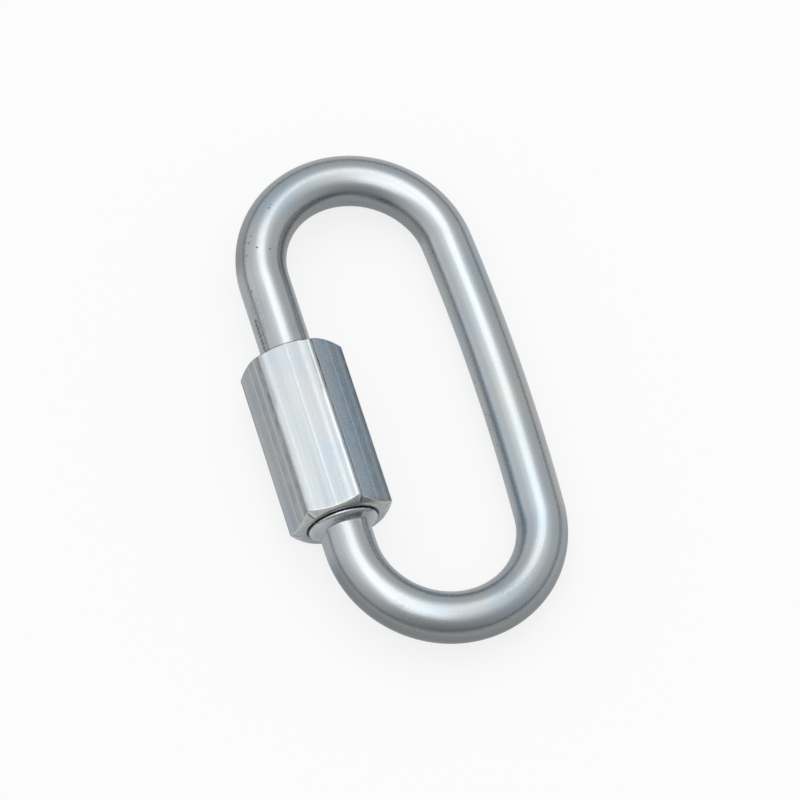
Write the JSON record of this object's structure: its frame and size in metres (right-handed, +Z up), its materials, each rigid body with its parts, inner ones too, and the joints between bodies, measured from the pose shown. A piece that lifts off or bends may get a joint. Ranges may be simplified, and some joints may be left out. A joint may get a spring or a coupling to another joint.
{
  "type": "chain quick link",
  "caption": "Oval link of round zinc-plated steel wire whose threaded gate is closed by a long hexagonal sleeve nut, for joining chains, rings and cables.",
  "frame": {"origin": "on the floor under the middle of the link's box, as it lies at rest on a corner of the nut and on the plain leg", "axes": "+Y along the link, towards the bow that the nut runs to when it opens; +Z up; +X towards the plain leg"},
  "size_m": [0.0256, 0.05, 0.0093],
  "materials": {
    "zinc_wire": "satin zinc plating",
    "zinc_nut": "bright zinc plating with drawing lines along the flats"
  },
  "bodies": {
    "link": {"link_body": "zinc_wire"},
    "nut": {"sleeve_nut": "zinc_nut"}
  },
  "joints": [
    {"name": "nut_travel", "type": "slide", "parent": "link", "child": "nut", "axis": [0, 1, 0], "range_m": [0, 0.009]}
  ]
}
